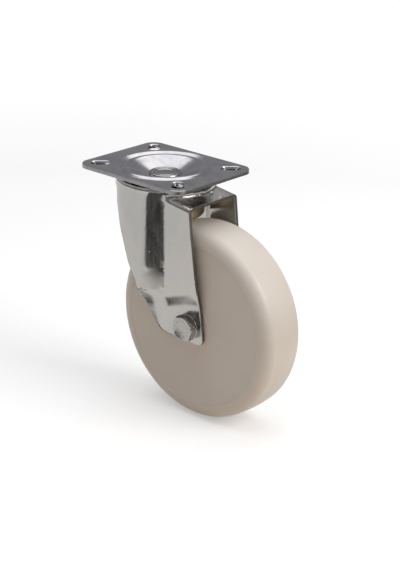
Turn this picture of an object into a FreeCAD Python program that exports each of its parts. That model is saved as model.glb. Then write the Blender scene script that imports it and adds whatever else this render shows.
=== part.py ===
import FreeCAD, Part
import math
import os

# Swivel plate castor. Millimetres. Origin: centre of the mounting face on the swivel axis.
# +Z up, +X from the swivel axis towards the wheel axle, -Y is the side with the bolt head.

# overall: the total height is twice the wheel radius plus the head over the tread
WHEEL_RADIUS = 100.0
SWIVEL_OFFSET = 62.5
CUP_BOTTOM_Z = -48.6
TREAD_ABOVE_CUP_BOTTOM = 2.6
AXLE_Z = CUP_BOTTOM_Z + TREAD_ABOVE_CUP_BOTTOM - WHEEL_RADIUS
TOTAL_HEIGHT = WHEEL_RADIUS - AXLE_Z

# top plate: the dish fits between the slots and inside the long sides
PLATE_LENGTH = 138.6
PLATE_WIDTH = 111.0
PLATE_THICKNESS = 4.5
PLATE_CORNER = 13.0
PLATE_EDGE_ROUND = 0.9
SLOT_INSET_X = 16.8
SLOT_INSET_Y = 16.75
SLOT_SPACING_X = PLATE_LENGTH - 2 * SLOT_INSET_X
SLOT_SPACING_Y = PLATE_WIDTH - 2 * SLOT_INSET_Y
SLOT_WIDTH = 12.0
SLOT_LENGTH = 20.0
SLOT_ANGLE = 45.0
SLOT_EDGE_ROUND = 1.5
SLOT_TO_DISH = 3.75
DISH_TO_SIDE = 4.0
SLOT_REACH = math.hypot(SLOT_SPACING_X, SLOT_SPACING_Y) / 2.0 - SLOT_LENGTH / 2.0 - SLOT_TO_DISH
DISH_RADIUS = min(PLATE_WIDTH / 2.0 - DISH_TO_SIDE, SLOT_REACH)
DISH_CUT_RADIUS = DISH_RADIUS + 1.5
BOWL_FLOOR_Z = -10.0
BOWL_SHEET = 4.6

# the head's round parts are drawn for a dish of this radius and grow with it
HEAD_SCALE = DISH_RADIUS / 51.5

# centre rivet
RIVET_SHANK_RADIUS = 8.0
RIVET_HOLE_RADIUS = 8.05
RIVET_HEAD_RADIUS = 16.5
RIVET_HEAD_TOP_Z = -6.0
RIVET_TAIL_RADIUS = 13.5
RIVET_TAIL_HEIGHT = 6.0

# swivel ball races
BALL_RADIUS = 4.75
TRACK_RADIUS = 5.0
BALL_SPACING = 12.5
UPPER_PITCH = 40.0 * HEAD_SCALE
UPPER_BALL_Z = -9.65
UPPER_BALL_COUNT = int(2 * math.pi * UPPER_PITCH / BALL_SPACING)
LOWER_PITCH = 32.0 * HEAD_SCALE
LOWER_BALL_Z = -40.8
LOWER_BALL_COUNT = int(2 * math.pi * LOWER_PITCH / BALL_SPACING)

# lower race cup
CUP_SHEET = 3.0
CUP_WALL_INNER = LOWER_PITCH + 5.2
CUP_WALL_OUTER = CUP_WALL_INNER + CUP_SHEET
CUP_RIM_Z = -27.0
CUP_BEND = 4.0

# fork sheet
SHEET = 3.0
WALL_RADIUS = 49.8 * HEAD_SCALE
HEAD_TOP_Z = -9.6
HEAD_BEND = 3.6
INNER_CREST_Z = -12.0
NECK_TOP_Z = -22.5
NECK_FRONT_X = 65.0
NECK_TILT = 8.0
NECK_BEND = 5.5
LEG_OUTER_Y = 35.0
RECESS_OUTER_Y = 31.0
STRIP_START = (18.3 * HEAD_SCALE, -46.3 * HEAD_SCALE)
STRIP_END = (33.0 * HEAD_SCALE, -LEG_OUTER_Y)
FORK_FRONT_X = SWIVEL_OFFSET + 23.5
COLLAR_INNER = LOWER_PITCH - 1.5
COLLAR_OUTER = COLLAR_INNER + SHEET
COLLAR_BOTTOM_Z = -36.0
CROWN_RING_RADIUS = UPPER_PITCH + 6.2
BLEND_TOP_Z = -92.0
LEG_STRETCH = (BLEND_TOP_Z - AXLE_Z) / 54.0
WALL_SPAN = 0.5

# axle
AXLE_HOLE_RADIUS = 8.25
BOLT_RADIUS = 8.0
BOLT_HEAD_FLATS = 24.0
HEX_TURN = 8.0
BOLT_HEAD_HEIGHT = 7.4
BOLT_WASHER_RADIUS = 13.6
BOLT_WASHER_THICKNESS = 3.2
NUT_FLATS = 24.0
NUT_HEX_HEIGHT = 12.0
NUT_COLLAR_HEIGHT = 4.0
INSERT_RADIUS = 10.0
NUT_WASHER_RADIUS = 14.5
NUT_WASHER_THICKNESS = 2.5
BOLT_TAIL = 2.0
TUBE_OUTER = 11.0
TUBE_INNER = 8.2
LEG_INNER_Y = RECESS_OUTER_Y - SHEET
END_WASHER_RADIUS = 17.0
END_WASHER_THICKNESS = 1.0

# wheel and its bearing
WHEEL_HALF_WIDTH = 27.0
TREAD_CROWN = 0.8
TREAD_HALF_FLAT = 14.5
SIDE_RADIUS = WHEEL_RADIUS - 14.5
SIDE_FACE_Y = 26.2
HUB_FACE_Y = 26.6
HUB_RADIUS = 20.0
HUB_BORE = 15.1
ROLLER_RADIUS = 2.0
ROLLER_PITCH = 13.05
ROLLER_LENGTH = 38.0
ROLLER_COUNT = 14
CAGE_INNER = 12.2
CAGE_OUTER = 13.9
CAGE_LENGTH = 46.0
CAGE_POCKET_PLAY = 0.12

Z_AXIS = FreeCAD.Vector(0, 0, 1)
Y_AXIS = FreeCAD.Vector(0, 1, 0)
X_AXIS = FreeCAD.Vector(1, 0, 0)
ORIGIN = FreeCAD.Vector(0, 0, 0)
AXLE = FreeCAD.Vector(SWIVEL_OFFSET, 0, AXLE_Z)


def vec(x, y, z):
    return FreeCAD.Vector(x, y, z)


def cylinder_z(radius, z0, z1):
    return Part.makeCylinder(radius, z1 - z0, vec(0, 0, z0), Z_AXIS)


def cylinder_y(radius, y0, y1):
    return Part.makeCylinder(radius, y1 - y0, vec(SWIVEL_OFFSET, y0, AXLE_Z), Y_AXIS)


def revolve_z(points):
    # points are (radius, z), a closed outline
    corners = [vec(r, 0, z) for r, z in points]
    face = Part.Face(Part.makePolygon(corners + [corners[0]]))
    return face.revolve(ORIGIN, Z_AXIS, 360)


def revolve_axle(points):
    # points are (y, radius) around the wheel axle, a closed outline
    corners = [vec(SWIVEL_OFFSET + r, y, AXLE_Z) for y, r in points]
    face = Part.Face(Part.makePolygon(corners + [corners[0]]))
    return face.revolve(AXLE, Y_AXIS, 360)


def arc_points(cx, cz, radius, start, end, steps):
    # points on an arc, angles in degrees from +x towards +z
    result = []
    for i in range(steps + 1):
        a = math.radians(start + (end - start) * i / steps)
        result.append((cx + radius * math.cos(a), cz + radius * math.sin(a)))
    return result


def hexagon(flats, y0, y1):
    radius = flats / math.sqrt(3.0)
    corners = []
    for i in range(6):
        a = math.radians(60 * i + HEX_TURN)
        corners.append(vec(SWIVEL_OFFSET + radius * math.cos(a), y0, AXLE_Z + radius * math.sin(a)))
    face = Part.Face(Part.makePolygon(corners + [corners[0]]))
    return face.extrude(vec(0, y1 - y0, 0))


# plate

def slot_cutter(x, y, angle):
    half = (SLOT_LENGTH - SLOT_WIDTH) / 2.0
    r = SLOT_WIDTH / 2.0
    depth = PLATE_THICKNESS + 2.0
    body = Part.makeBox(2 * half, SLOT_WIDTH, depth, vec(-half, -r, -depth + 1.0))
    for end in (-half, half):
        body = body.fuse(Part.makeCylinder(r, depth, vec(end, 0, -depth + 1.0), Z_AXIS))
    body = body.removeSplitter()
    body.rotate(ORIGIN, Z_AXIS, angle)
    body.translate(vec(x, y, 0))
    return body


def in_slot(point):
    # true near a slot's centre, false out on the rim of the plate
    dx = abs(point.x) - SLOT_SPACING_X / 2.0
    dy = abs(point.y) - SLOT_SPACING_Y / 2.0
    return math.hypot(dx, dy) < SLOT_LENGTH / 2.0


def dish_outline():
    edge = DISH_CUT_RADIUS
    top = [(51.5, 0.0), (50.2, -0.25), (48.6, -0.95), (46.6, -2.05), (45.0, -2.75), (43.9, -1.75)]
    top += [(42.6, -0.95), (41.2, -0.5), (39.6, -0.4), (38.0, -0.6), (36.6, -1.1), (35.2, -1.9)]
    top += [(33.4, -3.0), (29.0, -5.2), (24.0, -7.6), (20.6, -9.2)]
    top = [(edge, 0.0)] + [(r * HEAD_SCALE, z) for r, z in top]
    top += [(RIVET_HEAD_RADIUS + 2.3, BOWL_FLOOR_Z + 0.15), (RIVET_HEAD_RADIUS + 1.1, BOWL_FLOOR_Z)]
    top += [(RIVET_HOLE_RADIUS, BOWL_FLOOR_Z)]
    low_z = BOWL_FLOOR_Z - BOWL_SHEET
    low = [(17.0, low_z), (19.4, low_z + 0.4), (23.0, -12.5), (28.0, -10.0), (32.0, -8.2)]
    low = [(RIVET_HOLE_RADIUS, low_z)] + [(r * HEAD_SCALE, z) for r, z in low]
    low += [(UPPER_PITCH - 5.4, -7.6)]
    track = arc_points(UPPER_PITCH, UPPER_BALL_Z, TRACK_RADIUS, 155, 25, 10)
    low += [(r, z - 0.2) for r, z in track]
    low += [(UPPER_PITCH + 6.0, -7.5), (UPPER_PITCH + 7.6, -6.9), (DISH_RADIUS - 2.1, -5.4)]
    low += [(DISH_RADIUS - 0.9, -4.75), (DISH_RADIUS + 0.4, -PLATE_THICKNESS), (edge, -PLATE_THICKNESS)]
    return top + low


def make_top_plate():
    hx = PLATE_LENGTH / 2.0
    hy = PLATE_WIDTH / 2.0
    sheet = Part.makeBox(PLATE_LENGTH, PLATE_WIDTH, PLATE_THICKNESS, vec(-hx, -hy, -PLATE_THICKNESS))
    corners = [e for e in sheet.Edges if abs(e.tangentAt(e.FirstParameter).z) > 0.9]
    sheet = sheet.makeFillet(PLATE_CORNER, corners)
    for sx in (-1, 1):
        for sy in (-1, 1):
            x = sx * SLOT_SPACING_X / 2.0
            y = sy * SLOT_SPACING_Y / 2.0
            sheet = sheet.cut(slot_cutter(x, y, SLOT_ANGLE * sx * sy))
    top = [e for e in sheet.Edges if abs(e.BoundBox.ZMax) < 1e-6 and abs(e.BoundBox.ZMin) < 1e-6]
    rims = {SLOT_EDGE_ROUND: [], PLATE_EDGE_ROUND: []}
    for e in top:
        rims[SLOT_EDGE_ROUND if in_slot(e.BoundBox.Center) else PLATE_EDGE_ROUND].append(e)
    for edge_round in (SLOT_EDGE_ROUND, PLATE_EDGE_ROUND):
        sheet = sheet.makeFillet(edge_round, rims[edge_round])
    sheet = sheet.cut(cylinder_z(DISH_CUT_RADIUS, -20.0, 5.0))
    return sheet.fuse(revolve_z(dish_outline())).removeSplitter()


def make_king_rivet():
    low_z = BOWL_FLOOR_Z - BOWL_SHEET - CUP_SHEET
    top = RIVET_HEAD_TOP_Z
    r = RIVET_HEAD_RADIUS
    t = RIVET_TAIL_RADIUS
    tail = low_z - RIVET_TAIL_HEIGHT
    points = [(0.0, top - 0.7), (r - 4.3, top - 0.7), (r - 3.3, top - 0.1), (r - 1.9, top), (r - 0.8, top - 0.4)]
    points += [(r - 0.2, top - 1.1), (r, top - 2.0), (r, BOWL_FLOOR_Z), (RIVET_SHANK_RADIUS, BOWL_FLOOR_Z)]
    points += [(RIVET_SHANK_RADIUS, low_z), (t, low_z), (t, tail + 2.4), (t - 1.0, tail + 0.9)]
    points += [(t - 3.2, tail), (0.0, tail)]
    return revolve_z(points)


def make_lower_race_cup():
    bottom = CUP_BOTTOM_Z
    seat = BOWL_FLOOR_Z - BOWL_SHEET
    bend = CUP_BEND
    outer = [(CUP_WALL_OUTER, CUP_RIM_Z)]
    outer += arc_points(CUP_WALL_OUTER - bend, bottom + bend, bend, 0, -90, 6)
    outer += [(LOWER_PITCH - 7.4, bottom), (LOWER_PITCH - 9.0, bottom + 1.0)]
    outer += [(RIVET_TAIL_RADIUS + 3.4 * HEAD_SCALE, seat - 4.8)]
    outer += [(RIVET_TAIL_RADIUS + 1.9 * HEAD_SCALE, seat - CUP_SHEET)]
    outer += [(RIVET_HOLE_RADIUS, seat - CUP_SHEET), (RIVET_HOLE_RADIUS, seat)]
    inner = [(RIVET_TAIL_RADIUS + 3.7 * HEAD_SCALE, seat), (RIVET_TAIL_RADIUS + 5.9 * HEAD_SCALE, seat - 1.6)]
    inner += [(LOWER_PITCH - 6.0, bottom + CUP_SHEET + 1.2), (LOWER_PITCH - 4.8, bottom + CUP_SHEET)]
    inner += [(LOWER_PITCH - 1.4, bottom + CUP_SHEET - 0.15)]
    track = arc_points(LOWER_PITCH, LOWER_BALL_Z, TRACK_RADIUS, -80, -5, 7)
    inner += [(r + 0.2, z - 0.05) for r, z in track]
    inner += [(CUP_WALL_INNER + 0.1, CUP_RIM_Z)]
    return revolve_z(outer + inner)


def make_balls(count, pitch, z):
    balls = []
    for i in range(count):
        a = 2 * math.pi * (i + 0.5) / count
        balls.append(Part.makeSphere(BALL_RADIUS, vec(pitch * math.cos(a), pitch * math.sin(a), z)))
    return Part.makeCompound(balls)


# fork

def strip_frame():
    dx = STRIP_END[0] - STRIP_START[0]
    dy = STRIP_END[1] - STRIP_START[1]
    length = math.hypot(dx, dy)
    return dx / length, dy / length


def head_body(radius, inset, z0, z1, bend):
    # round head with one flat each side, in the plane of the slanted strip
    body = cylinder_z(radius, z0, z1)
    body = body.makeFillet(bend, top_edges(body, z1, "circle"))
    ux, uy = strip_frame()
    foot = STRIP_START[0] * uy - STRIP_START[1] * ux - inset
    for side in (1, -1):
        slab = Part.makeBox(160, 160, z1 - z0, vec(foot - 160, -80, z0))
        slab = slab.makeFillet(bend, top_edges(slab, z1, foot))
        slab.rotate(ORIGIN, Z_AXIS, -side * math.degrees(math.atan2(ux, uy)))
        body = body.common(slab)
    return body


def top_edges(body, z, where):
    found = []
    for e in body.Edges:
        box = e.BoundBox
        if abs(box.ZMin - z) > 1e-3 or abs(box.ZMax - z) > 1e-3:
            continue
        if where == "circle" or (abs(box.XMin - where) < 1e-3 and abs(box.XMax - where) < 1e-3):
            found.append(e)
    return found


def neck_body(half, z0, z1, bend):
    # straight sides and a flat top that climbs from the front edge back to the head
    body = Part.makeBox(FORK_FRONT_X + 10.0, 2 * half, z1 - z0, vec(10.0, -half, z0))
    rim = []
    for e in body.Edges:
        box = e.BoundBox
        if abs(box.ZMin - z1) < 1e-4 and abs(box.YMin - box.YMax) < 1e-4:
            rim.append(e)
    body = body.makeFillet(bend, rim)
    body.rotate(vec(NECK_FRONT_X, 0, z1), Y_AXIS, NECK_TILT)
    return body


def upper_shell():
    low = -160.0
    outer = head_body(WALL_RADIUS, 0.0, low, HEAD_TOP_Z, HEAD_BEND)
    outer = outer.fuse(neck_body(LEG_OUTER_Y, low, NECK_TOP_Z, NECK_BEND))
    inner = head_body(WALL_RADIUS - SHEET, SHEET, low - 5, HEAD_TOP_Z - SHEET, HEAD_BEND - SHEET)
    inner = inner.fuse(neck_body(LEG_OUTER_Y - SHEET, low - 5, NECK_TOP_Z - SHEET, NECK_BEND - SHEET))
    return outer.cut(inner)


def crown_ring():
    # pressed ball track ring and the collar that runs down into the cup
    h = HEAD_TOP_Z
    c = INNER_CREST_Z
    track = arc_points(UPPER_PITCH, UPPER_BALL_Z, TRACK_RADIUS, -12, -148, 10)
    top = [(CROWN_RING_RADIUS, h), (CROWN_RING_RADIUS - 0.7, h - 0.2)] + [(r, z - 0.05) for r, z in track]
    top += [(UPPER_PITCH - 5.4, c), (COLLAR_INNER + 3.1, c - 0.4), (COLLAR_INNER + 1.3, c - 1.8)]
    top += [(COLLAR_INNER + 0.3, c - 3.6)]
    top += [(COLLAR_INNER, c - 5.4), (COLLAR_INNER, COLLAR_BOTTOM_Z + 0.6)]
    groove = arc_points(LOWER_PITCH, LOWER_BALL_Z, TRACK_RADIUS, 104, 76, 4)
    low = [(r, z + 0.05) for r, z in groove]
    low += [(COLLAR_OUTER, COLLAR_BOTTOM_Z + 0.6), (COLLAR_OUTER, c - 6.0), (COLLAR_OUTER + 0.5, c - 4.4)]
    bulge = [(-5.8, -3.4), (-4.4, -3.6), (-3.2, -5.0), (-1.6, -5.7), (0.0, -5.9), (1.8, -5.6), (3.4, -4.6)]
    low += [(UPPER_PITCH + dr, c + dz) for dr, dz in bulge]
    low += [(UPPER_PITCH + 5.0, c - 2.6), (CROWN_RING_RADIUS, h - SHEET)]
    return revolve_z(top + low)


def leg_z(z):
    # a height drawn for the 200 mm wheel, stretched with the leg below the blend
    if z > BLEND_TOP_Z:
        return z
    return BLEND_TOP_Z + (z - BLEND_TOP_Z) * LEG_STRETCH


def leg_point(x, y):
    # a plan point of the leg: its bulge over the flat follows the head, the flat follows the wheel
    over = -y - 35.0
    if over > 0.0:
        over *= (-STRIP_START[1] - LEG_OUTER_Y) / 11.3
    return x * HEAD_SCALE, -(LEG_OUTER_Y + over)


# plan sections of one leg, from the top down:
# level, rise of the front end, wall angle at the crease, crease, rib, valley, flat y
SECTIONS = [
    (BLEND_TOP_Z, 0.0, 21.57, (18.3, -46.3), (25.8, -40.54), (33.0, -35.0), -35.0),
    (-100.0, 3.0, 18.6, (16.4, -47.01), (25.4, -40.8), (32.6, -35.0), -35.0),
    (-109.0, 8.0, 15.0, (13.4, -47.96), (24.9, -40.9), (32.1, -35.0), -35.0),
    (-115.5, 12.5, 12.4, (10.9, -48.5), (24.4, -40.8), (31.7, -35.0), -35.0),
    (-120.5, 16.0, 10.0, (9.5, -45.6), (24.1, -40.1), (31.4, -35.0), -35.0),
    (-123.5, 17.0, 9.0, (9.5, -43.4), (23.9, -39.2), (31.2, -34.4), -34.4),
    (-126.0, 17.0, 8.0, (9.5, -41.7), (23.7, -38.4), (31.1, -33.4), -33.4),
    (-130.5, 17.0, 6.0, (9.8, -39.3), (23.5, -37.0), (31.0, -31.9), -31.9),
    (-133.0, 17.0, 4.5, (10.4, -38.2), (23.5, -36.3), (31.0, -31.2), -31.2),
    (-136.5, 17.0, 3.5, (11.0, -37.2), (23.5, -35.6), (31.0, -31.0), -31.0),
    (-150.0, 17.0, 2.0, (12.0, -34.4), (23.7, -33.4), (31.0, -31.0), -31.0),
    (-172.0, 0.0, 0.5, (12.0, -32.1), (24.0, -31.7), (31.0, -31.0), -31.0),
]


def unit(a, b):
    length = math.hypot(b[0] - a[0], b[1] - a[1])
    return (b[0] - a[0]) / length, (b[1] - a[1]) / length


def shifted_line(a, b, d):
    ux, uy = unit(a, b)
    return (a[0] - uy * d, a[1] + ux * d), (b[0] - uy * d, b[1] + ux * d)


def meet(l1, l2):
    (x1, y1), (x2, y2) = l1
    (x3, y3), (x4, y4) = l2
    den = (x1 - x2) * (y3 - y4) - (y1 - y2) * (x3 - x4)
    if abs(den) < 1e-6:
        return x2, y2
    a = x1 * y2 - y1 * x2
    b = x3 * y4 - y3 * x4
    return (a * (x3 - x4) - (x1 - x2) * b) / den, (a * (y3 - y4) - (y1 - y2) * b) / den


def meet_circle(centre, radius, line, near):
    (x1, y1), (x2, y2) = line
    ux, uy = unit((x1, y1), (x2, y2))
    fx = x1 - centre[0]
    fy = y1 - centre[1]
    b = fx * ux + fy * uy
    c = fx * fx + fy * fy - radius * radius
    root = math.sqrt(b * b - c)
    options = []
    for t in (-b - root, -b + root):
        options.append((x1 + t * ux, y1 + t * uy))
    options.sort(key=lambda q: math.hypot(q[0] - near[0], q[1] - near[1]))
    return options[0]


def section_side(section, d):
    # one side of the sheet: its round wall and the corner points that follow
    angle, p1, q, p2 = section[2], leg_point(*section[3]), leg_point(*section[4]), leg_point(*section[5])
    flat = leg_point(0.0, section[6])[1]
    a = math.radians(angle)
    centre = (p1[0] - WALL_RADIUS * math.sin(a), p1[1] + WALL_RADIUS * math.cos(a))
    front = (FORK_FRONT_X, flat)
    l1 = shifted_line(p1, q, d)
    l2 = shifted_line(q, p2, d)
    l3 = shifted_line(p2, front, d)
    radius = WALL_RADIUS - d
    start = meet_circle(centre, radius, l1, p1)
    turn = math.atan2(start[1] - centre[1], start[0] - centre[0])
    corners = [start, meet(l1, l2), meet(l2, l3), l3[1]]
    return centre, radius, turn, corners


def section_wire(section):
    level = leg_z(section[0])
    rise = section[1] * LEG_STRETCH
    edges = []
    ends = []
    for d in (0.0, SHEET):
        centre, radius, turn, corners = section_side(section, d)
        points = [vec(x, y, level) for x, y in corners]
        points[3].z = level + rise
        circle = Part.Circle(vec(centre[0], centre[1], level), Z_AXIS, radius)
        wall = Part.ArcOfCircle(circle, turn - WALL_SPAN, turn)
        ends.append((wall.StartPoint, points[3]))
        side = [wall.toShape()]
        side.append(Part.makeLine(wall.EndPoint, points[1]))
        side.append(Part.makeLine(points[1], points[2]))
        side.append(Part.makeLine(points[2], points[3]))
        edges.append(side)
    front = Part.makeLine(ends[0][1], ends[1][1])
    back = Part.makeLine(ends[1][0], ends[0][0])
    return Part.Wire(edges[0] + [front] + edges[1][::-1] + [back])


def lower_leg():
    return Part.makeLoft([section_wire(s) for s in SECTIONS], True, True)


def blend_cutter():
    # everything under the level where the lower legs start
    return Part.makeBox(400, 400, 200, vec(-200, -200, BLEND_TOP_Z - 200))


def side_profile():
    # what the sheet keeps, seen from the side, as (x, z)
    tip = arc_points(74.3, -157.2, 6.2, 0, -92, 5)
    points = [(-70.0, 0.0), (NECK_FRONT_X, 0.0), (NECK_FRONT_X, -23.0), (NECK_FRONT_X - 0.4, -27.0), (67.4, -53.0), (75.3, -106.5)]
    points += [(80.5, -151.6)] + tip + [(62.5, -163.6), (48.9, -163.0), (37.9, -162.4), (31.5, -161.6)]
    points += [(28.0, -160.4), (24.8, -157.9), (21.8, -154.2), (17.2, -146.6), (11.6, -134.0)]
    points += [(8.6, -126.0), (8.0, -122.5), (8.8, -119.5), (9.6, -117.4), (5.6, -107.6), (-0.4, -95.6)]
    points += [(-3.4, -90.0), (-6.6, -81.4), (-9.8, -72.8), (-13.5, -64.4), (-17.4, -56.2), (-22.0, -41.2)]
    points += [(-24.2, -35.5), (-25.2, -29.0), (-25.5, -22.5), (-26.3, -19.0), (-28.4, -17.2)]
    points += [(-33.0, -16.6), (-70.0, -16.6)]
    shift = SWIVEL_OFFSET - 62.5
    corners = [vec(x + shift * min(1.0, max(0.0, z / AXLE_Z)), -90, leg_z(z)) for x, z in points]
    face = Part.Face(Part.makePolygon(corners + [corners[0]]))
    return face.extrude(vec(0, 180, 0))


def make_fork():
    shell = upper_shell().cut(blend_cutter())
    leg = lower_leg()
    shell = shell.fuse([leg, leg.mirror(ORIGIN, Y_AXIS)])
    shell = shell.common(side_profile())
    shell = shell.cut(cylinder_z(CROWN_RING_RADIUS, HEAD_TOP_Z - 8.0, HEAD_TOP_Z + 5.0))
    shell = shell.fuse(crown_ring())
    for side in (-1, 1):
        y = side * (LEG_INNER_Y + 1.0)
        hole = cylinder_y(AXLE_HOLE_RADIUS, y - 12.0, y + 12.0)
        shell = shell.cut(hole)
    return shell.removeSplitter()


# axle

def make_axle_bolt():
    y1 = -RECESS_OUTER_Y - BOLT_WASHER_THICKNESS
    y0 = y1 - BOLT_HEAD_HEIGHT
    head = hexagon(BOLT_HEAD_FLATS, y0, y1)
    r = BOLT_HEAD_FLATS / 2.0
    cone = revolve_axle([(y0, 0.0), (y0, r - 0.3), (y0 + 1.1, r + 2.0), (y1, r + 2.0), (y1, 0.0)])
    head = head.common(cone)
    y2 = RECESS_OUTER_Y + NUT_WASHER_THICKNESS + NUT_HEX_HEIGHT + NUT_COLLAR_HEIGHT + BOLT_TAIL
    shank = revolve_axle([(y1 - 1, 0.0), (y1 - 1, BOLT_RADIUS), (y2 - 1.2, BOLT_RADIUS),
                          (y2, BOLT_RADIUS - 1.2), (y2, 0.0)])
    return head.fuse(shank).removeSplitter()


def ring_y(inner, outer, y0, y1, bevel):
    points = [(y0, inner), (y0, outer - bevel), (y0 + bevel, outer), (y1 - bevel, outer)]
    points += [(y1, outer - bevel), (y1, inner)]
    return revolve_axle(points)


def make_bolt_washer():
    y1 = -RECESS_OUTER_Y
    return ring_y(BOLT_RADIUS + 0.3, BOLT_WASHER_RADIUS, y1 - BOLT_WASHER_THICKNESS, y1, 0.4)


def make_nut_washer():
    y0 = RECESS_OUTER_Y
    return ring_y(BOLT_RADIUS + 0.3, NUT_WASHER_RADIUS, y0, y0 + NUT_WASHER_THICKNESS, 0.3)


def make_axle_nut():
    y0 = RECESS_OUTER_Y + NUT_WASHER_THICKNESS
    y1 = y0 + NUT_HEX_HEIGHT
    y2 = y1 + NUT_COLLAR_HEIGHT
    r = NUT_FLATS / 2.0
    nut = hexagon(NUT_FLATS, y0, y1)
    nut = nut.common(revolve_axle([(y0, 0.0), (y0, r), (y0 + 0.9, r + 2.0), (y1 - 0.9, r + 2.0), (y1, r), (y1, 0.0)]))
    c = INSERT_RADIUS + 1.2
    collar = revolve_axle([(y1 - 1, 0.0), (y1 - 1, c), (y2 - 1.6, c), (y2 - 0.4, c - 0.8), (y2, c - 1.6), (y2, 0.0)])
    nut = nut.fuse(collar)
    nut = nut.cut(cylinder_y(BOLT_RADIUS + 0.05, y0 - 1, y2 + 1))
    return nut.cut(cylinder_y(INSERT_RADIUS, y1, y2 - 0.8))


def make_nut_insert():
    y0 = RECESS_OUTER_Y + NUT_WASHER_THICKNESS + NUT_HEX_HEIGHT
    return ring_y(BOLT_RADIUS + 0.05, INSERT_RADIUS, y0, y0 + NUT_COLLAR_HEIGHT - 0.8, 0.2)


def make_axle_tube():
    return ring_y(TUBE_INNER, TUBE_OUTER, -LEG_INNER_Y, LEG_INNER_Y, 0.3)


def make_end_washer(side):
    y0 = LEG_INNER_Y - END_WASHER_THICKNESS
    y1 = LEG_INNER_Y
    if side < 0:
        y0, y1 = -y1, -y0
    return ring_y(TUBE_OUTER + 0.1, END_WASHER_RADIUS, y0, y1, 0.15)


# wheel

def make_wheel():
    depth = WHEEL_RADIUS - TREAD_CROWN - SIDE_RADIUS
    reach = WHEEL_HALF_WIDTH - TREAD_HALF_FLAT
    half = [(0.0, WHEEL_RADIUS), (TREAD_HALF_FLAT / 2.0, WHEEL_RADIUS - TREAD_CROWN / 4.0)]
    for i in range(9):
        a = math.radians(85.0 - 85.0 * i / 8)
        half.append((TREAD_HALF_FLAT + reach * math.cos(a), SIDE_RADIUS + depth * math.sin(a)))
    half += [(SIDE_FACE_Y + 0.75, SIDE_RADIUS - 0.6), (SIDE_FACE_Y + 0.55, SIDE_RADIUS - 1.5)]
    half += [(SIDE_FACE_Y + 0.25, SIDE_RADIUS - 2.6), (SIDE_FACE_Y, SIDE_RADIUS - 4.5)]
    half += [(SIDE_FACE_Y, HUB_RADIUS + 1.5), (HUB_FACE_Y, HUB_RADIUS)]
    half += [(HUB_FACE_Y, HUB_BORE + 0.5), (HUB_FACE_Y - 0.5, HUB_BORE)]
    other = [(-y, r) for y, r in reversed(half[1:])]
    return revolve_axle(half + other)


def make_rollers():
    rollers = []
    for i in range(ROLLER_COUNT):
        a = 2 * math.pi * i / ROLLER_COUNT
        x = SWIVEL_OFFSET + ROLLER_PITCH * math.cos(a)
        z = AXLE_Z + ROLLER_PITCH * math.sin(a)
        start = vec(x, -ROLLER_LENGTH / 2.0, z)
        rollers.append(Part.makeCylinder(ROLLER_RADIUS, ROLLER_LENGTH, start, Y_AXIS))
    return Part.makeCompound(rollers)


def make_roller_cage():
    h = CAGE_LENGTH / 2.0
    cage = ring_y(CAGE_INNER, CAGE_OUTER, -h, h, 0.2)
    w = ROLLER_RADIUS + CAGE_POCKET_PLAY
    pocket_half = ROLLER_LENGTH / 2.0 + CAGE_POCKET_PLAY
    pockets = []
    for i in range(ROLLER_COUNT):
        pocket = Part.makeBox(6.0, 2 * pocket_half, 2 * w, vec(ROLLER_PITCH - 3.0, -pocket_half, -w))
        pocket.rotate(ORIGIN, Y_AXIS, -360.0 * i / ROLLER_COUNT)
        pocket.translate(AXLE)
        pockets.append(pocket)
    return cage.cut(pockets)


def build():
    parts = {}
    parts["top_plate"] = make_top_plate()
    parts["king_rivet"] = make_king_rivet()
    parts["lower_race_cup"] = make_lower_race_cup()
    parts["upper_balls"] = make_balls(UPPER_BALL_COUNT, UPPER_PITCH, UPPER_BALL_Z)
    parts["lower_balls"] = make_balls(LOWER_BALL_COUNT, LOWER_PITCH, LOWER_BALL_Z)
    parts["fork"] = make_fork()
    parts["axle_bolt"] = make_axle_bolt()
    parts["bolt_washer"] = make_bolt_washer()
    parts["axle_nut"] = make_axle_nut()
    parts["nut_insert"] = make_nut_insert()
    parts["nut_washer"] = make_nut_washer()
    parts["axle_tube"] = make_axle_tube()
    parts["end_washer_near"] = make_end_washer(-1)
    parts["end_washer_far"] = make_end_washer(1)
    parts["roller_cage"] = make_roller_cage()
    parts["rollers"] = make_rollers()
    parts["wheel"] = make_wheel()
    return parts


os.makedirs("parts", exist_ok=True)
for name, shape in build().items():
    print(name, len(shape.Solids), shape.isValid(), round(shape.Volume, 1), shape.BoundBox)
    shape.exportStep("parts/" + name + ".step")
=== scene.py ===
import math

import bmesh
import bpy
from mathutils import Matrix, Vector


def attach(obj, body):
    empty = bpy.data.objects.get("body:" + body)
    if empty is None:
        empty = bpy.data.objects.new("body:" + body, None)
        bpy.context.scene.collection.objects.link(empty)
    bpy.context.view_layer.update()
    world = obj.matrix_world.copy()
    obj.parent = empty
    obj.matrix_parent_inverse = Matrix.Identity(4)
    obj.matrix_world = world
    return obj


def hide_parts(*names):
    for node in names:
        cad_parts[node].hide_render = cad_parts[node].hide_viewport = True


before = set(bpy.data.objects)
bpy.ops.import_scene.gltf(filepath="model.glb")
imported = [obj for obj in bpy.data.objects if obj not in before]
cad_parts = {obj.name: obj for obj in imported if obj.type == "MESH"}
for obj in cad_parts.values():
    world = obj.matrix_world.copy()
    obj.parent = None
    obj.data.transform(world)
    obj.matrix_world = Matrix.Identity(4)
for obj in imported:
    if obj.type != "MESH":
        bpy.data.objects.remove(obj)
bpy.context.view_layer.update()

# Swivel plate castor. The origin is the middle of the mounting face, +Z up, +X towards the axle,
# -Y the side with the bolt head. Sizes of pieces are written in millimetres and turned into
# metres by MM; the camera, the lamps, the floor and the cards are written in metres.

MM = 0.001
AXLE = Vector((0.0625, 0.0, -0.146))
FLOOR_Z = -0.246
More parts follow.
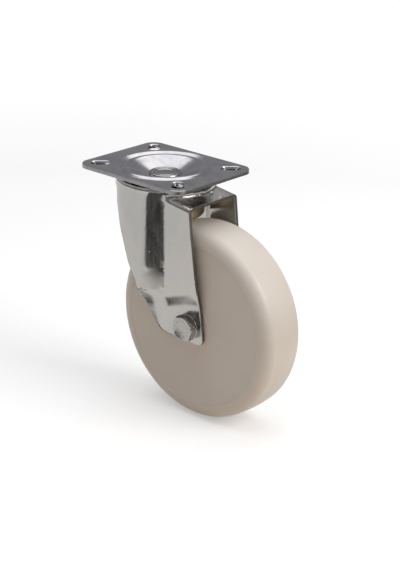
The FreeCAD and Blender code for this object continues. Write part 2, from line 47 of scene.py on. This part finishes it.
# points nearer than this many metres are one, and edges flatter than this many degrees are smooth
TOUCH = 2e-6
SMOOTH_BELOW = 35.0

CAMERA_PLACE = (1.0152, -1.0801, 0.4534)
CAMERA_AZIMUTH, CAMERA_ELEVATION, CAMERA_ROLL = 41.82, 21.4, 0.95

PLATE_HALF_X, PLATE_HALF_Y = 69.3, 55.5
PLATE_CORNER = 13.0
PLATE_UNDERSIDE = -4.5
DISH_RIM = 53.0
SLOT_X, SLOT_Y = 52.5, 38.75
SLOT_RADIUS = 6.0
SLOT_HALF_STRAIGHT = 4.0
BALL_RADIUS = 4.75

# where the fork's pressed shapes lie: beyond or before this x, between these heights
STEP_X, STEP_HEIGHTS = 36.0, (-142.0, -98.0)
STRIP_FOOT_X, STRIP_FOOT_HEIGHTS = 32.0, (-114.0, -76.0)
FRONT_RIM_X, FRONT_RIM_HEIGHTS = 64.0, (-150.0, -84.0)
LEGS_BELOW = -16.5
# an outer edge sharper than the first is a cut rim, and any other sharper than the second a bend
RIM_ANGLE, BEND_ANGLE = 55.0, 7.0
STEP_ROUNDS = 70

# zinc and steel: plain, warm and cool tone, least and most roughness, depth of the brushed grain
METALS = {
    "zinc_fork": ((0.44, 0.428, 0.41), (0.47, 0.435, 0.375), (0.39, 0.40, 0.405), 0.13, 0.25, 0.45),
    "zinc_plate": ((0.55, 0.54, 0.565), (0.72, 0.70, 0.70), (0.38, 0.37, 0.42), 0.13, 0.24, 0.0),
    "zinc_bolt": ((0.37, 0.355, 0.34), (0.40, 0.375, 0.34), (0.34, 0.335, 0.33), 0.12, 0.20, 0.0),
    "zinc_cup": ((0.66, 0.585, 0.39), (0.68, 0.60, 0.40), (0.46, 0.42, 0.33), 0.26, 0.42, 0.0),
    "rivet_zinc": ((0.41, 0.40, 0.41), (0.46, 0.44, 0.42), (0.34, 0.34, 0.37), 0.18, 0.30, 0.0),
    # the plate's sheared rim: duller for real, and darker partly as a painted dark reflection
    "sheared_rim_and_painted_reflection": ((0.30, 0.29, 0.29), (0.35, 0.32, 0.28), (0.24, 0.24, 0.26), 0.30, 0.44, 0.0),
    # the fork's cut edges: duller for real, and darker partly as a painted dark reflection
    "cut_edge_and_painted_reflection": ((0.20, 0.18, 0.17), (0.26, 0.22, 0.18), (0.14, 0.13, 0.13), 0.45, 0.60, 0.0),
    "ball_steel": ((0.60, 0.60, 0.61), (0.58, 0.56, 0.50), (0.50, 0.50, 0.52), 0.12, 0.22, 0.0),
    "bare_steel": ((0.50, 0.49, 0.48), (0.50, 0.46, 0.40), (0.42, 0.42, 0.44), 0.30, 0.45, 0.0),
}

# nylon: clean tone, aged tone, roughness
NYLONS = {
    "nylon_wheel": ((0.73, 0.67, 0.605), (0.70, 0.63, 0.56), 0.40),
    "nylon_washer": ((0.62, 0.60, 0.55), (0.58, 0.55, 0.50), 0.45),
    "nylon_cage": ((0.10, 0.10, 0.10), (0.14, 0.13, 0.12), 0.45),
    "nylon_insert": ((0.10, 0.22, 0.50), (0.08, 0.18, 0.42), 0.45),
}


# camera, floor and light

def aim(obj, target):
    obj.rotation_euler = (target - obj.location).to_track_quat("-Z", "Y").to_euler()


def make_camera():
    azimuth = math.radians(CAMERA_AZIMUTH)
    elevation = math.radians(CAMERA_ELEVATION)
    roll = math.radians(CAMERA_ROLL)
    back = Vector((math.sin(azimuth) * math.cos(elevation),
                   -math.cos(azimuth) * math.cos(elevation),
                   math.sin(elevation)))
    right = Vector((math.cos(azimuth), math.sin(azimuth), 0.0))
    up = back.cross(right)
    right, up = (right * math.cos(roll) + up * math.sin(roll),
                 up * math.cos(roll) - right * math.sin(roll))
    data = bpy.data.cameras.new("camera")
    data.sensor_width = 36.0
    data.lens = 98.1
    camera = bpy.data.objects.new("camera", data)
    bpy.context.scene.collection.objects.link(camera)
    turn = Matrix((right, up, back)).transposed().to_4x4()
    camera.matrix_world = Matrix.Translation(Vector(CAMERA_PLACE)) @ turn
    bpy.context.scene.camera = camera


def make_lamp(name, place, target, size, power, colour=(1.0, 1.0, 1.0)):
    """A square softbox, its side and its place in metres."""
    data = bpy.data.lights.new(name, "AREA")
    data.shape = "RECTANGLE"
    data.size = size
    data.size_y = size
    data.energy = power
    data.color = colour
    lamp = bpy.data.objects.new(name, data)
    bpy.context.scene.collection.objects.link(lamp)
    lamp.location = place
    aim(lamp, Vector(target))


def plain_material(name, colour, roughness):
    material = bpy.data.materials.new(name)
    material.use_nodes = True
    shader = material.node_tree.nodes["Principled BSDF"]
    shader.inputs["Base Color"].default_value = (*colour, 1.0)
    shader.inputs["Roughness"].default_value = roughness
    return material


def ranged(tree, source, start, end):
    """A map range node fed by the source, with the start and end of its input range set."""
    node = tree.nodes.new("ShaderNodeMapRange")
    node.inputs["From Min"].default_value = start
    node.inputs["From Max"].default_value = end
    tree.links.new(source, node.inputs["Value"])
    return node


def two_input_math(tree, operation, first, second):
    node = tree.nodes.new("ShaderNodeMath")
    node.operation = operation
    tree.links.new(first, node.inputs[0])
    tree.links.new(second, node.inputs[1])
    return node.outputs[0]


def floor_material():
    # white paper: what the camera, metal and glass see is lifted to white and keeps the shadow,
    # more so far off where the lamps fade, and the light that it throws back on the castor is
    # that of a plain warm grey floor
    material = plain_material("floor_paper", (0.72, 0.62, 0.53), 1.0)
    tree = material.node_tree
    link = tree.links.new
    place = tree.nodes.new("ShaderNodeTexCoord").outputs["Object"]
    far = tree.nodes.new("ShaderNodeVectorMath")
    far.operation = "LENGTH"
    link(place, far.inputs[0])
    lift = ranged(tree, far.outputs["Value"], 0.8, 2.6)
    lift.inputs["To Min"].default_value = 0.36
    lift.inputs["To Max"].default_value = 1.0
    glow = tree.nodes.new("ShaderNodeEmission")
    link(lift.outputs["Result"], glow.inputs["Strength"])
    paper = tree.nodes.new("ShaderNodeBsdfDiffuse")
    paper.inputs["Color"].default_value = (0.80, 0.80, 0.80, 1.0)
    white = tree.nodes.new("ShaderNodeAddShader")
    link(glow.outputs[0], white.inputs[0])
    link(paper.outputs[0], white.inputs[1])
    rays = tree.nodes.new("ShaderNodeLightPath").outputs
    seen = two_input_math(tree, "MAXIMUM", rays["Is Camera Ray"], rays["Is Glossy Ray"])
    seen = two_input_math(tree, "MAXIMUM", seen, rays["Is Transmission Ray"])
    choice = tree.nodes.new("ShaderNodeMixShader")
    link(seen, choice.inputs["Fac"])
    link(tree.nodes["Principled BSDF"].outputs[0], choice.inputs[1])
    link(white.outputs[0], choice.inputs[2])
    link(choice.outputs[0], tree.nodes["Material Output"].inputs["Surface"])
    return material


def flat_sheet(name, width, depth, material):
    bm = bmesh.new()
    bmesh.ops.create_grid(bm, x_segments=1, y_segments=1, size=0.5)
    bmesh.ops.scale(bm, vec=(width, depth, 1.0), verts=bm.verts)
    mesh = bpy.data.meshes.new(name)
    bm.to_mesh(mesh)
    bm.free()
    mesh.materials.append(material)
    sheet = bpy.data.objects.new(name, mesh)
    bpy.context.scene.collection.objects.link(sheet)
    return sheet


def card_material(name, across, along):
    """Black that fades out towards the sides and the ends, each given as (size, fading width)."""
    material = plain_material(name + "_black", (0.012, 0.012, 0.012), 1.0)
    tree = material.node_tree
    place = tree.nodes.new("ShaderNodeTexCoord").outputs["Object"]
    axes = tree.nodes.new("ShaderNodeSeparateXYZ")
    tree.links.new(place, axes.inputs[0])
    shares = []
    for axis, (size, soft) in (("X", across), ("Y", along)):
        reach = tree.nodes.new("ShaderNodeMath")
        reach.operation = "ABSOLUTE"
        tree.links.new(axes.outputs[axis], reach.inputs[0])
        fade = ranged(tree, reach.outputs[0], size / 2, size / 2 - soft)
        fade.interpolation_type = "SMOOTHSTEP"
        shares.append(fade.outputs["Result"])
    share = two_input_math(tree, "MULTIPLY", *shares)
    tree.links.new(share, tree.nodes["Principled BSDF"].inputs["Alpha"])
    return material


def dark_card(name, width, depth, turn, distance, soft_sides, soft_ends):
    """A black sheet with fading rims, its middle that far out from the swivel axis."""
    material = card_material(name, (width, soft_sides), (depth, soft_ends))
    card = flat_sheet(name, width, depth, material)
    turn = math.radians(turn)
    card.rotation_euler.z = turn
    just_above_floor = FLOOR_Z + 0.002
    card.location = Matrix.Rotation(turn, 3, "Z") @ Vector((0.0, -distance, just_above_floor))
    card.visible_camera = False
    card.visible_diffuse = False
    card.visible_shadow = False


def make_studio():
    bpy.context.scene.view_settings.view_transform = "Standard"
    world = bpy.data.worlds.new("studio")
    bpy.context.scene.world = world
    world.use_nodes = True
    sky = world.node_tree.nodes["Background"].inputs
    sky["Color"].default_value = (0.96, 0.97, 1.0, 1.0)
    sky["Strength"].default_value = 0.27
    make_lamp("overhead_softbox", (-0.1, 0.1, 1.5), (0.05, 0.0, -0.2), 2.2, 18.0)
    make_lamp("right_softbox", (1.4, 0.3, 0.9), (0.03, 0.0, -0.12), 0.9, 14.0, (1.0, 0.985, 0.96))
    floor = flat_sheet("floor", 16.0, 16.0, floor_material())
    floor.location.z = FLOOR_Z - 0.00002
    # black cards on the floor, out of the picture, that the bare metal mirrors: in front for the
    # slanted strip, at the right and behind for the cut edges, and close by a painted shadow for the
    # pressed step
    dark_card("front_card", 1.00, 4.0, 48.0, 2.20, 0.18, 0.26)
    dark_card("right_card", 1.5, 1.6, 132.0, 1.08, 0.10, 0.10)
    # painted shadow: a soft black patch where the castor's shadow lies on the floor, seen only in
    # the pressed step's reflection
    dark_card("painted_shadow_card", 0.13, 0.14, -36.0, 0.116, 0.05, 0.07)


# finishes

class Finish:
    """A material being put together from nodes."""

    def __init__(self, name, roughness, metallic=0.0):
        self.material = bpy.data.materials.new(name)
        self.material.use_nodes = True
        self.tree = self.material.node_tree
        self.shader = self.tree.nodes["Principled BSDF"]
        self.shader.inputs["Roughness"].default_value = roughness
        self.shader.inputs["Metallic"].default_value = metallic
        self.place = self.tree.nodes.new("ShaderNodeTexCoord").outputs["Object"]

    def wire(self, source, target):
        self.tree.links.new(source, target)

    def stretched(self, scale, centre=(0.0, 0.0, 0.0)):
        node = self.tree.nodes.new("ShaderNodeMapping")
        node.inputs["Location"].default_value = centre
        node.inputs["Scale"].default_value = scale
        self.wire(self.place, node.inputs["Vector"])
        return node.outputs["Vector"]

    def noise(self, scale, detail=3.0, rough=0.5, warp=0.0, vector=None):
        node = self.tree.nodes.new("ShaderNodeTexNoise")
        node.inputs["Scale"].default_value = scale
        node.inputs["Detail"].default_value = detail
        node.inputs["Roughness"].default_value = rough
        node.inputs["Distortion"].default_value = warp
        self.wire(vector or self.place, node.inputs["Vector"])
        return node.outputs["Fac"]

    def steps(self, factor, stops):
        """A ramp of greys, each stop a (position, grey)."""
        node = self.tree.nodes.new("ShaderNodeValToRGB")
        for element, (position, grey) in zip(node.color_ramp.elements, stops):
            element.position = position
            element.color = (grey, grey, grey, 1.0)
        self.wire(factor, node.inputs["Fac"])
        return node.outputs["Color"]

    def blend(self, factor, first, second):
        node = self.tree.nodes.new("ShaderNodeMix")
        node.data_type = "RGBA"
        self.wire(factor, node.inputs[0])
        for value, socket in ((first, node.inputs[6]), (second, node.inputs[7])):
            if isinstance(value, tuple):
                socket.default_value = (*value, 1.0)
            else:
                self.wire(value, socket)
        return node.outputs[2]

    def combine(self, operation, first, second):
        node = self.tree.nodes.new("ShaderNodeMath")
        node.operation = operation
        for value, socket in ((first, node.inputs[0]), (second, node.inputs[1])):
            if isinstance(value, float):
                socket.default_value = value
            else:
                self.wire(value, socket)
        return node.outputs["Value"]

    def colour(self, source):
        self.wire(source, self.shader.inputs["Base Color"])

    def roughness(self, source):
        self.wire(source, self.shader.inputs["Roughness"])

    def relief(self, height, depth, strength, under=None):
        node = self.tree.nodes.new("ShaderNodeBump")
        node.inputs["Strength"].default_value = strength
        node.inputs["Distance"].default_value = depth
        self.wire(height, node.inputs["Height"])
        if under:
            self.wire(under, node.inputs["Normal"])
        self.wire(node.outputs["Normal"], self.shader.inputs["Normal"])
        return node.outputs["Normal"]


def zinc(name, plain, warm, cool, low_rough, high_rough, grain):
    """Plated sheet: cloudy tones, fine dull spots, upright streaks and a slight wave."""
    f = Finish(name, low_rough, 1.0)
    clouds = f.noise(22.0, 4.0, 0.55, 0.4)
    drawn_out = f.stretched((1.0, 1.0, 0.55), centre=(0.3, 0.1, 0.7))
    patches = f.noise(47.0, 3.0, 0.6, 0.8, drawn_out)
    tone = f.blend(f.steps(clouds, [(0.42, 0.0), (0.62, 0.55)]), plain, warm)
    tone = f.blend(f.steps(patches, [(0.48, 0.0), (0.66, 0.5)]), tone, cool)
    spots = f.noise(420.0, 2.0, 0.6)
    tone = f.blend(f.steps(spots, [(0.24, 0.35), (0.36, 0.0)]), tone, (0.30, 0.29, 0.28))
    f.colour(tone)
    streaks = f.noise(1.0, 3.0, 0.6, 0.0, f.stretched((520.0, 520.0, 26.0)))
    wear = f.combine("ADD", f.combine("MULTIPLY", patches, 0.6), f.combine("MULTIPLY", streaks, 0.4))
    f.roughness(f.steps(wear, [(0.35, low_rough), (0.65, high_rough)]))
    wave = f.relief(f.noise(26.0, 2.0, 0.4), 0.0005, 0.16)
    if grain:
        lines = f.noise(1.0, 2.0, 0.5, 0.0, f.stretched((800.0, 800.0, 16.0)))
        wave = f.relief(lines, 0.00006, grain, wave)
    f.relief(f.noise(900.0, 2.0, 0.5), 0.00002, 0.22, wave)
    return f.material


def nylon(name, base, aged, roughness):
    """Moulded nylon: slightly see-into, unevenly aged, with a few specks of dirt."""
    f = Finish(name, roughness)
    f.shader.inputs["IOR"].default_value = 1.53
    f.shader.inputs["Subsurface Weight"].default_value = 0.12
    f.shader.inputs["Subsurface Radius"].default_value = (0.004, 0.003, 0.002)
    f.shader.inputs["Subsurface Scale"].default_value = 1.0
    clouds = f.noise(14.0, 4.0, 0.55, 0.3)
    tone = f.blend(f.steps(clouds, [(0.40, 0.0), (0.68, 0.8)]), base, aged)
    specks = f.noise(300.0, 1.0, 0.5)
    tone = f.blend(f.steps(specks, [(0.155, 0.7), (0.175, 0.0)]), tone, (0.22, 0.19, 0.16))
    f.colour(tone)
    rubbed = f.noise(60.0, 3.0, 0.6)
    f.roughness(f.steps(rubbed, [(0.3, roughness - 0.05), (0.7, roughness + 0.07)]))
    f.relief(f.noise(900.0, 2.0, 0.5), 0.00003, 0.4)
    return f.material


def make_finishes():
    kinds = {name: zinc(name, *values) for name, values in METALS.items()}
    kinds.update({name: nylon(name, *values) for name, values in NYLONS.items()})
    return kinds


# round pieces

def rounded_outline(bm, outline):
    """One face in the XZ plane from (x, z, corner radius) in millimetres, its corners rounded."""
    corners = [bm.verts.new((x * MM, 0.0, z * MM)) for x, z, _ in outline]
    bm.faces.new(corners)
    for corner, (_, _, radius) in zip(corners, outline):
        if not radius:
            continue
        before, after = (edge.other_vert(corner).co - corner.co for edge in corner.link_edges)
        inside = before.angle(after)
        bmesh.ops.bevel(bm, geom=[corner], offset=radius * MM / math.tan(inside / 2),
                        segments=arc_steps(radius, inside), profile=0.5, affect="VERTICES",
                        material=-1)


def arc_steps(radius, inside):
    """More steps on a round that is wide or turns far."""
    return max(2, round((math.pi - inside) * math.sqrt(radius) * 3.5))


def spun(bm, steps):
    """Turns the outline in this mesh once round Z."""
    bmesh.ops.delete(bm, geom=bm.faces[:], context="FACES_ONLY")
    on_axis = [edge for edge in bm.edges if all(vert.co.x < 1e-7 for vert in edge.verts)]
    bmesh.ops.delete(bm, geom=on_axis, context="EDGES")
    bmesh.ops.spin(bm, geom=bm.verts[:] + bm.edges[:], cent=(0, 0, 0), axis=(0, 0, 1),
                   angle=2 * math.pi, steps=steps, use_merge=True)
    bmesh.ops.remove_doubles(bm, verts=bm.verts[:], dist=TOUCH)


def onto_axle(bm):
    """Lays a mesh that was turned round Z along the wheel axle, its +Z end towards +Y."""
    bmesh.ops.rotate(bm, verts=bm.verts[:], cent=(0, 0, 0),
                     matrix=Matrix.Rotation(-math.pi / 2, 3, "X"))
    bmesh.ops.translate(bm, verts=bm.verts[:], vec=AXLE)


def fit(name, bm, finish, body, node, crease=SMOOTH_BELOW):
    """Makes the mesh a piece that rides on a body in a solid's place."""
    mesh = bpy.data.meshes.new(name)
    bm.to_mesh(mesh)
    bm.free()
    mesh.shade_smooth()
    mesh.set_sharp_from_angle(angle=math.radians(crease))
    mesh.materials.append(finishes[finish])
    piece = bpy.data.objects.new(name, mesh)
    bpy.context.scene.collection.objects.link(piece)
    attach(piece, body)
    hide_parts(node)
    return piece


def turned(name, outline, steps, finish, body, on_axle=False):
    bm = bmesh.new()
    rounded_outline(bm, outline)
    spun(bm, steps)
    if on_axle:
        onto_axle(bm)
    bmesh.ops.recalc_face_normals(bm, faces=bm.faces[:])
    fit(name + "_turned", bm, finish, body, name)


def make_king_rivet():
    outline = [(0.0, -7.15, 0), (8.2, -7.15, 3.0), (10.4, -6.0, 1.3), (12.2, -6.75, 1.2),
               (13.6, -6.0, 0.7), (16.5, -6.0, 1.7), (16.5, -10.0, 0), (8.0, -10.0, 0),
               (8.0, -17.6, 0), (13.5, -17.6, 0), (13.5, -23.6, 3.2), (0.0, -23.6, 0)]
    turned("king_rivet", outline, 96, "rivet_zinc", "plate")


def make_lower_race_cup():
    low = -48.6
    sheet = 3.0
    outline = [(40.2, -27.0, 0.7), (40.2, low, 4.2), (23.6, low, 2.0), (16.3, -17.6, 2.0),
               (8.05, -17.6, 0), (8.05, -14.6, 0), (17.8, -14.6, 2.2), (25.4, low + sheet, 1.6),
               (37.2, low + sheet, 4.6), (37.2, -27.0, 0.7)]
    turned("lower_race_cup", outline, 128, "zinc_cup", "plate")


def make_ball_set(name, count, pitch, height, body):
    """That many balls evenly on a circle of the pitch radius round the swivel axis."""
    bm = bmesh.new()
    for i in range(count):
        turn = 2 * math.pi * (i + 0.5) / count
        place = Vector((pitch * math.cos(turn), pitch * math.sin(turn), height)) * MM
        bmesh.ops.create_uvsphere(bm, u_segments=28, v_segments=18, radius=BALL_RADIUS * MM,
                                  matrix=Matrix.Translation(place))
    fit(name + "_ground", bm, "ball_steel", body, name)


def make_wheel():
    # drawn with round shoulders as wide as they are deep, then drawn in to their true width
    flat = 14.5
    true_width, drawn_width = 12.5, 13.7
    squeeze = true_width / drawn_width
    shoulder = flat + drawn_width
    foot = 85.45
    tread = [(99.99, 0.0, 0), (99.79, 7.2, 0), (99.19, flat, 0), (99.19, shoulder, 13.65),
             (foot, shoulder, 0)]
    side = [(84.7, 26.85, 0.9), (83.2, 26.2, 1.5), (22.2, 26.2, 0.8), (21.4, 26.6, 0.5),
            (15.1, 26.6, 0.8)]
    half = tread + side
    bm = bmesh.new()
    rounded_outline(bm, half + [(r, -y, c) for r, y, c in reversed(half[1:])])
    for vert in bm.verts:
        over = abs(vert.co.z) - flat * MM
        if over > 0 and vert.co.x > (foot - 0.05) * MM:
            vert.co.z = math.copysign(flat * MM + over * squeeze, vert.co.z)
    spun(bm, 240)
    onto_axle(bm)
    bmesh.ops.recalc_face_normals(bm, faces=bm.faces[:])
    fit("wheel_moulding", bm, "nylon_wheel", "road_wheel", "wheel")


# top plate

def closed_ring(bm, level, half_x, half_y, radius, steps):
    """The edges of a rounded rectangle in a flat ring, in millimetres."""
    corners = [bm.verts.new((x * MM, y * MM, level * MM))
               for x, y in ((half_x, half_y), (-half_x, half_y),
                            (-half_x, -half_y), (half_x, -half_y))]
    bm.faces.new(corners)
    bmesh.ops.bevel(bm, geom=corners, offset=radius * MM, segments=steps, profile=0.5,
                    affect="VERTICES", material=-1)
    face = next(f for f in bm.faces if len(f.verts) == 4 * (steps + 1))
    edges = face.edges[:]
    bmesh.ops.delete(bm, geom=[face], context="FACES_ONLY")
    return edges


def slot_ring(bm, level, radius, x, y, turn):
    """The edges of a slot's outline: a ring pulled out lengthways by the slot's straight part."""
    made = bmesh.ops.create_circle(bm, cap_ends=False, segments=48, radius=radius * MM)
    ring = made["verts"]
    for vert in ring:
        if abs(vert.co.x) > 1e-7:
            vert.co.x += math.copysign(SLOT_HALF_STRAIGHT * MM, vert.co.x)
    bmesh.ops.rotate(bm, verts=ring, cent=(0, 0, 0), matrix=Matrix.Rotation(turn, 3, "Z"))
    bmesh.ops.translate(bm, verts=ring, vec=Vector((x, y, level)) * MM)
    return list({edge for vert in ring for edge in vert.link_edges})


def joined_rings(bm, rings):
    for upper, lower in zip(rings, rings[1:]):
        bmesh.ops.bridge_loops(bm, edges=upper + lower)


def make_dish(bm):
    """The pressed dish and its underside, open at the rim; gives the upper and lower rim edges."""
    low = PLATE_UNDERSIDE
    outline = [(DISH_RIM, 0.0, 0), (50.4, 0.0, 1.6), (45.1, -3.1, 0.8), (40.6, 1.35, 5.2),
               (33.0, -3.1, 3.0), (19.6, -10.0, 2.2), (8.05, -10.0, 0), (8.05, -14.6, 0),
               (18.0, -14.6, 3.0), (33.6, -7.6, 1.0), (36.8, -4.95, 4.9), (43.2, -4.95, 4.9),
               (45.4, -7.5, 0.4), (48.2, -6.9, 1.5), (51.6, low, 0.8), (DISH_RIM, low, 0)]
    rounded_outline(bm, outline)
    bmesh.ops.delete(bm, geom=bm.faces[:], context="FACES_ONLY")
    at_rim = [e for e in bm.edges if all(v.co.x > (DISH_RIM - 0.1) * MM for v in e.verts)]
    upright = [e for e in at_rim if abs(e.verts[0].co.z - e.verts[1].co.z) > 4 * MM]
    bmesh.ops.delete(bm, geom=upright, context="EDGES")
    spun(bm, 144)
    rims = [e for e in bm.edges if e.is_boundary]
    return ([e for e in rims if e.verts[0].co.z > -1 * MM],
            [e for e in rims if e.verts[0].co.z < -1 * MM])


def make_top_plate():
    bm = bmesh.new()
    top, bottom = make_dish(bm)
    outer = []
    # how far in from the plate's side, and how high
    for back, level in ((0.9, 0.0), (0.45, -0.12), (0.12, -0.45), (0.0, -0.9), (0.0, -4.2),
                        (0.3, PLATE_UNDERSIDE)):
        outer.append(closed_ring(bm, level, PLATE_HALF_X - back, PLATE_HALF_Y - back,
                                 PLATE_CORNER - back, 12))
    joined_rings(bm, outer)
    top += outer[0]
    bottom += outer[-1]
    for side_x in (-1, 1):
        for side_y in (-1, 1):
            turn = math.radians(45.0) * side_x * side_y
            rings = []
            # how much wider than the slot, and how high
            for wider, level in ((1.5, 0.0), (0.9, -0.12), (0.44, -0.44), (0.12, -0.9),
                                 (0.0, -1.5), (0.0, PLATE_UNDERSIDE)):
                rings.append(slot_ring(bm, level, SLOT_RADIUS + wider,
                                       SLOT_X * side_x, SLOT_Y * side_y, turn))
            joined_rings(bm, rings)
            top += rings[0]
            bottom += rings[-1]
    for edges, up in ((top, 1.0), (bottom, -1.0)):
        bmesh.ops.triangle_fill(bm, edges=edges, use_beauty=True, normal=(0, 0, up))
    bmesh.ops.recalc_face_normals(bm, faces=bm.faces[:])
    piece = fit("top_plate_pressed", bm, "zinc_plate", "plate", "top_plate", 30.0)
    piece.data.materials.append(finishes["sheared_rim_and_painted_reflection"])
    # the upright sides, round the corners too, are as the shears left them, duller and darker; the
    # darkness is partly a painted dark reflection
    sheared_from = (PLATE_CORNER - 0.4) * MM
    for face in piece.data.polygons:
        past_x = max(0.0, abs(face.center.x) - (PLATE_HALF_X - PLATE_CORNER) * MM)
        past_y = max(0.0, abs(face.center.y) - (PLATE_HALF_Y - PLATE_CORNER) * MM)
        if math.hypot(past_x, past_y) > sheared_from and abs(face.normal.z) < 0.3:
            face.material_index = 1


# fork

def between(vert, heights):
    low, high = heights
    return low * MM < vert.co.z < high * MM


def ease_rims(kept):
    """Lets the front cut edges of the legs follow the soft pressed step along their length."""
    chains = {}
    for vert in kept:
        if vert.co.x > FRONT_RIM_X * MM and between(vert, FRONT_RIM_HEIGHTS):
            near = [edge.other_vert(vert) for edge in vert.link_edges]
            near = [other for other in near if other in kept and
                    abs(other.co.z - vert.co.z) > abs(other.co.y - vert.co.y)]
            if len(near) == 2:
                chains[vert] = near
    for _ in range(STEP_ROUNDS):
        levels = {vert: (first.co.y + second.co.y) / 2 for vert, (first, second) in chains.items()}
        for vert, level in levels.items():
            vert.co.y += 0.5 * (level - vert.co.y)


def even_faces(bm):
    """Small triangles of about one size in place of the solid's long ones."""
    bmesh.ops.dissolve_limit(bm, angle_limit=math.radians(0.6), verts=bm.verts[:],
                             edges=bm.edges[:])
    bmesh.ops.triangulate(bm, faces=bm.faces[:])
    for longest in (16.0, 9.0, 6.0, 4.5, 3.4, 2.6):
        long_edges = [e for e in bm.edges if e.calc_length() > longest * MM]
        bmesh.ops.subdivide_edges(bm, edges=long_edges, cuts=1)
        bmesh.ops.triangulate(bm, faces=[f for f in bm.faces if len(f.verts) > 3])
        if longest > 8.0:
            flat = [e for e in bm.edges if e.calc_face_angle(0.0) < math.radians(1.5)]
            bmesh.ops.beautify_fill(bm, faces=bm.faces[:], edges=flat)


def make_fork():
    """The solid's own mesh, with even faces and pressed bends instead of creases."""
    bm = bmesh.new()
    bm.from_mesh(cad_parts["fork"].data)
    bmesh.ops.remove_doubles(bm, verts=bm.verts[:], dist=TOUCH)
    even_faces(bm)
    kept = set()
    bends = set()
    for edge in bm.edges:
        angle = math.degrees(edge.calc_face_angle(0.0))
        if angle > RIM_ANGLE and edge.is_convex:
            kept.update(edge.verts)
        elif angle > BEND_ANGLE:
            bends.update(edge.verts)
    for _ in range(2):
        bends.update([edge.other_vert(vert) for vert in bends for edge in vert.link_edges])
    bends = [vert for vert in bends if vert not in kept]
    free = [vert for vert in bm.verts if vert not in kept]
    step = [vert for vert in free if vert.co.x > STEP_X * MM and between(vert, STEP_HEIGHTS)]
    foot = [vert for vert in free
            if vert.co.x < STRIP_FOOT_X * MM and between(vert, STRIP_FOOT_HEIGHTS)]
    ease_rims(kept)
    for verts, rounds in ((bends, 9), (step, STEP_ROUNDS), (foot, 16)):
        for _ in range(rounds):
            bmesh.ops.smooth_vert(bm, verts=verts, factor=0.5, use_axis_x=True, use_axis_y=True,
                                  use_axis_z=True)
    bmesh.ops.recalc_face_normals(bm, faces=bm.faces[:])
    piece = fit("fork_pressing", bm, "zinc_fork", "swivel_fork", "fork", 50.0)
    # the cut edges take a darker finish, partly their own dull shear and partly a painted dark
    # reflection
    piece.data.materials.append(finishes["cut_edge_and_painted_reflection"])
    # the cut edges of the legs face neither sideways nor straight up or down
    for face in piece.data.polygons:
        normal = face.normal
        below = face.center.z < LEGS_BELOW * MM
        if below and abs(normal.y) < 0.03 and abs(normal.z) < 0.97:
            face.material_index = 1


# axle

def broken_edges(bm, node):
    """The solid's own mesh with its outer edges broken by a small round."""
    bm.from_mesh(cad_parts[node].data)
    bmesh.ops.remove_doubles(bm, verts=bm.verts[:], dist=TOUCH)
    bmesh.ops.dissolve_limit(bm, angle_limit=math.radians(0.8), verts=bm.verts[:],
                             edges=bm.edges[:])
    bmesh.ops.recalc_face_normals(bm, faces=bm.faces[:])
    edges = [e for e in bm.edges
             if math.degrees(e.calc_face_angle(0.0)) > 25.0 and e.is_convex]
    bmesh.ops.bevel(bm, geom=edges, offset=0.3 * MM, segments=2, profile=0.5, affect="EDGES",
                    material=-1, clamp_overlap=True)


def make_axle_bolt():
    bm = bmesh.new()
    broken_edges(bm, "axle_bolt")
    # plain raised ticks round the head, one towards each corner and each flat
    face_y = -41.6
    ticks = 12
    hex_turn = 8.0
    tick_size = Vector((2.3, 0.5, 0.55)) * MM
    tick_place = Vector((8.3, face_y + 0.05, 0)) * MM
    for i in range(ticks):
        turn = math.radians(360.0 / ticks * i + hex_turn)
        tick = bmesh.ops.create_cube(bm, size=1.0)["verts"]
        bmesh.ops.scale(bm, vec=tick_size, verts=tick)
        edges = list({edge for vert in tick for edge in vert.link_edges})
        made = bmesh.ops.bevel(bm, geom=edges, offset=0.12 * MM, segments=2, profile=0.5,
                               affect="EDGES", material=-1)
        tick = list({vert for face in made["faces"] for vert in face.verts})
        bmesh.ops.translate(bm, verts=tick, vec=tick_place)
        bmesh.ops.rotate(bm, verts=tick, cent=(0, 0, 0), matrix=Matrix.Rotation(turn, 3, "Y"))
        bmesh.ops.translate(bm, verts=tick, vec=AXLE)
    fit("axle_bolt_forged", bm, "zinc_bolt", "swivel_fork", "axle_bolt", 14.0)


def make_axle_nut():
    bm = bmesh.new()
    broken_edges(bm, "axle_nut")
    fit("axle_nut_forged", bm, "zinc_bolt", "swivel_fork", "axle_nut", 14.0)


def make_washers():
    # name, finish, bore, rim, first face, second face, rim round
    for name, finish, bore, rim, near, far, edge in (
            ("bolt_washer", "zinc_bolt", 8.3, 13.6, -34.2, -31.0, 0.5),
            ("nut_washer", "zinc_bolt", 8.3, 14.5, 31.0, 33.5, 0.4),
            ("nut_insert", "nylon_insert", 8.05, 10.0, 45.5, 48.7, 0.5)):
        outline = [(bore, near, 0), (rim, near, edge), (rim, far, edge), (bore, far, 0)]
        turned(name, outline, 96, finish, "swivel_fork", on_axle=True)


def finish_hidden_solids():
    # what lies inside the hub keeps its solid's shape and gets its own finish
    for name, kind in (("axle_tube", "bare_steel"), ("end_washer_near", "nylon_washer"),
                       ("end_washer_far", "nylon_washer"), ("roller_cage", "nylon_cage"),
                       ("rollers", "ball_steel")):
        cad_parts[name].data.materials[0] = finishes[kind]


make_camera()
make_studio()
finishes = make_finishes()
make_top_plate()
make_king_rivet()
make_lower_race_cup()
make_ball_set("upper_balls", 20, 40.0, -9.65, "upper_ball_set")
make_ball_set("lower_balls", 16, 32.0, -40.8, "lower_ball_set")
make_fork()
make_axle_bolt()
make_axle_nut()
make_washers()
make_wheel()
finish_hidden_solids()
